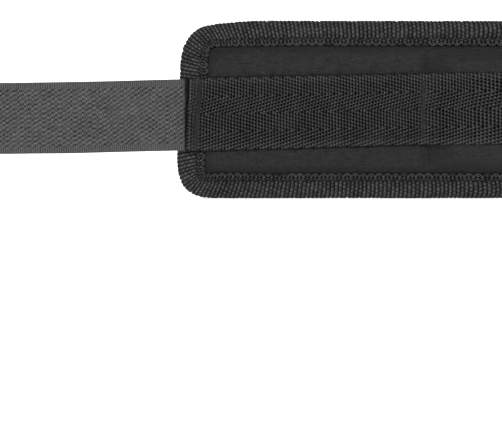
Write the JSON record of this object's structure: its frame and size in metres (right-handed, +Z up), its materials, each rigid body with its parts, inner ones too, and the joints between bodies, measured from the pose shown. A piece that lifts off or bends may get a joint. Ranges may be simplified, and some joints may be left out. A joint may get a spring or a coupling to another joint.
{
  "type": "ankle cuff weight",
  "caption": "Padded ankle cuff that straps round the lower leg; iron shot in sewn pouches loads the leg, and a hook strap closes onto a loop pad.",
  "frame": {"origin": "on the ground, at the centre of the plan box, with the cuff standing on its lower long edge", "axes": "+Z up along the ankle's axis, the outer face of the flap towards -Y, the hook strap leaving towards -X"},
  "size_m": [0.3588, 0.1388, 0.075],
  "materials": {
    "outer_neoprene": "matte, fine knit faced neoprene",
    "lining_neoprene": "matte, smooth fine knit",
    "binding_tape": "soft ribbed tape",
    "webbing": "herringbone webbing, slight sheen",
    "hook_strap": "woven nylon back, hooks on the skin side",
    "loop_pad": "fuzzy loop pile",
    "foam": "open foam",
    "pouch_cloth": "plain woven nylon",
    "iron_shot": "dull metal shot",
    "thread": "bonded thread"
  },
  "bodies": {
    "flap_1": {"outer_panel_1": "outer_neoprene", "foam_core_1": "foam", "lining_1": "lining_neoprene", "binding_1": "binding_tape", "webbing_1": "webbing", "sewn_strap_1": "hook_strap", "box_seam_1": "thread"},
    "flap_2": {"outer_panel_2": "outer_neoprene", "foam_core_2": "foam", "lining_2": "lining_neoprene", "binding_2": "binding_tape", "webbing_2": "webbing", "sewn_strap_2": "hook_strap", "box_seam_2": "thread"},
    "flap_3": {"outer_panel_3": "outer_neoprene", "foam_core_3": "foam", "lining_3": "lining_neoprene", "binding_3": "binding_tape", "webbing_3": "webbing", "sewn_strap_3": "hook_strap", "box_seam_3": "thread"},
    "pocket_1": {"outer_panel_4": "outer_neoprene", "lining_4": "lining_neoprene", "binding_4": "binding_tape", "webbing_4": "webbing", "shot_pouch_4": "pouch_cloth", "shot_fill_4": "iron_shot"},
    "pocket_2": {"outer_panel_5": "outer_neoprene", "lining_5": "lining_neoprene", "binding_5": "binding_tape", "webbing_5": "webbing", "shot_pouch_5": "pouch_cloth", "shot_fill_5": "iron_shot"},
    "pocket_3": {"outer_panel_6": "outer_neoprene", "lining_6": "lining_neoprene", "binding_6": "binding_tape", "webbing_6": "webbing", "shot_pouch_6": "pouch_cloth", "shot_fill_6": "iron_shot", "loop_pad_6": "loop_pad"},
    "pocket_4": {"outer_panel_7": "outer_neoprene", "lining_7": "lining_neoprene", "binding_7": "binding_tape", "webbing_7": "webbing", "shot_pouch_7": "pouch_cloth", "shot_fill_7": "iron_shot", "loop_pad_7": "loop_pad"},
    "pocket_5": {"outer_panel_8": "outer_neoprene", "lining_8": "lining_neoprene", "binding_8": "binding_tape", "webbing_8": "webbing", "shot_pouch_8": "pouch_cloth", "shot_fill_8": "iron_shot", "loop_pad_8": "loop_pad"},
    "strap_1": {"free_strap_1": "hook_strap"},
    "strap_2": {"free_strap_2": "hook_strap"},
    "strap_3": {"free_strap_3": "hook_strap"},
    "strap_4": {"free_strap_4": "hook_strap"}
  },
  "joints": [
    {"name": "flap_fold_3", "type": "hinge", "parent": "pocket_1", "child": "flap_3", "pos_m": [0.0888, -0.05151, 0.0375], "axis": [0, 0, -1], "range_deg": [0, 39]},
    {"name": "flap_fold_2", "type": "hinge", "parent": "flap_3", "child": "flap_2", "pos_m": [0.0541, -0.05151, 0.0375], "axis": [0, 0, -1], "range_deg": [0, 39]},
    {"name": "flap_fold_1", "type": "hinge", "parent": "flap_2", "child": "flap_1", "pos_m": [0.0194, -0.05151, 0.0375], "axis": [0, 0, -1], "range_deg": [0, 39]},
    {"name": "pocket_fold_1", "type": "hinge", "parent": "pocket_1", "child": "pocket_2", "pos_m": [0.1228, -0.05151, 0.0375], "axis": [0, 0, 1], "range_deg": [-36, 7]},
    {"name": "pocket_fold_2", "type": "hinge", "parent": "pocket_2", "child": "pocket_3", "pos_m": [0.1503, -0.03153, 0.0375], "axis": [0, 0, 1], "range_deg": [-36, 7]},
    {"name": "pocket_fold_3", "type": "hinge", "parent": "pocket_3", "child": "pocket_4", "pos_m": [0.16081, 0.00081, 0.0375], "axis": [0, 0, 1], "range_deg": [-36, 7]},
    {"name": "pocket_fold_4", "type": "hinge", "parent": "pocket_4", "child": "pocket_5", "pos_m": [0.1503, 0.03315, 0.0375], "axis": [0, 0, 1], "range_deg": [-36, 7]},
    {"name": "strap_fold_1", "type": "hinge", "parent": "flap_1", "child": "strap_1", "pos_m": [-0.0157, -0.06141, 0.0375], "axis": [0, 0, -1], "range_deg": [-14, 34]},
    {"name": "strap_fold_2", "type": "hinge", "parent": "strap_1", "child": "strap_2", "pos_m": [-0.0525, -0.06141, 0.0375], "axis": [0, 0, -1], "range_deg": [-15.29, 37.05]},
    {"name": "strap_fold_3", "type": "hinge", "parent": "strap_2", "child": "strap_3", "pos_m": [-0.0987, -0.06141, 0.0375], "axis": [0, 0, -1], "range_deg": [-13.64, 33.05]},
    {"name": "strap_fold_4", "type": "hinge", "parent": "strap_3", "child": "strap_4", "pos_m": [-0.14834, -0.05266, 0.0375], "axis": [0, 0, -1], "range_deg": [-11.99, 29.05]}
  ],
  "couplings": [
    {"joint": "flap_fold_2", "follows": "flap_fold_3", "ratio": 1},
    {"joint": "flap_fold_1", "follows": "flap_fold_3", "ratio": 1},
    {"joint": "pocket_fold_2", "follows": "pocket_fold_1", "ratio": 1},
    {"joint": "pocket_fold_3", "follows": "pocket_fold_1", "ratio": 1},
    {"joint": "pocket_fold_4", "follows": "pocket_fold_1", "ratio": 1},
    {"joint": "strap_fold_2", "follows": "strap_fold_1", "ratio": 1.0882},
    {"joint": "strap_fold_3", "follows": "strap_fold_1", "ratio": 0.97059},
    {"joint": "strap_fold_4", "follows": "strap_fold_1", "ratio": 0.85294}
  ]
}
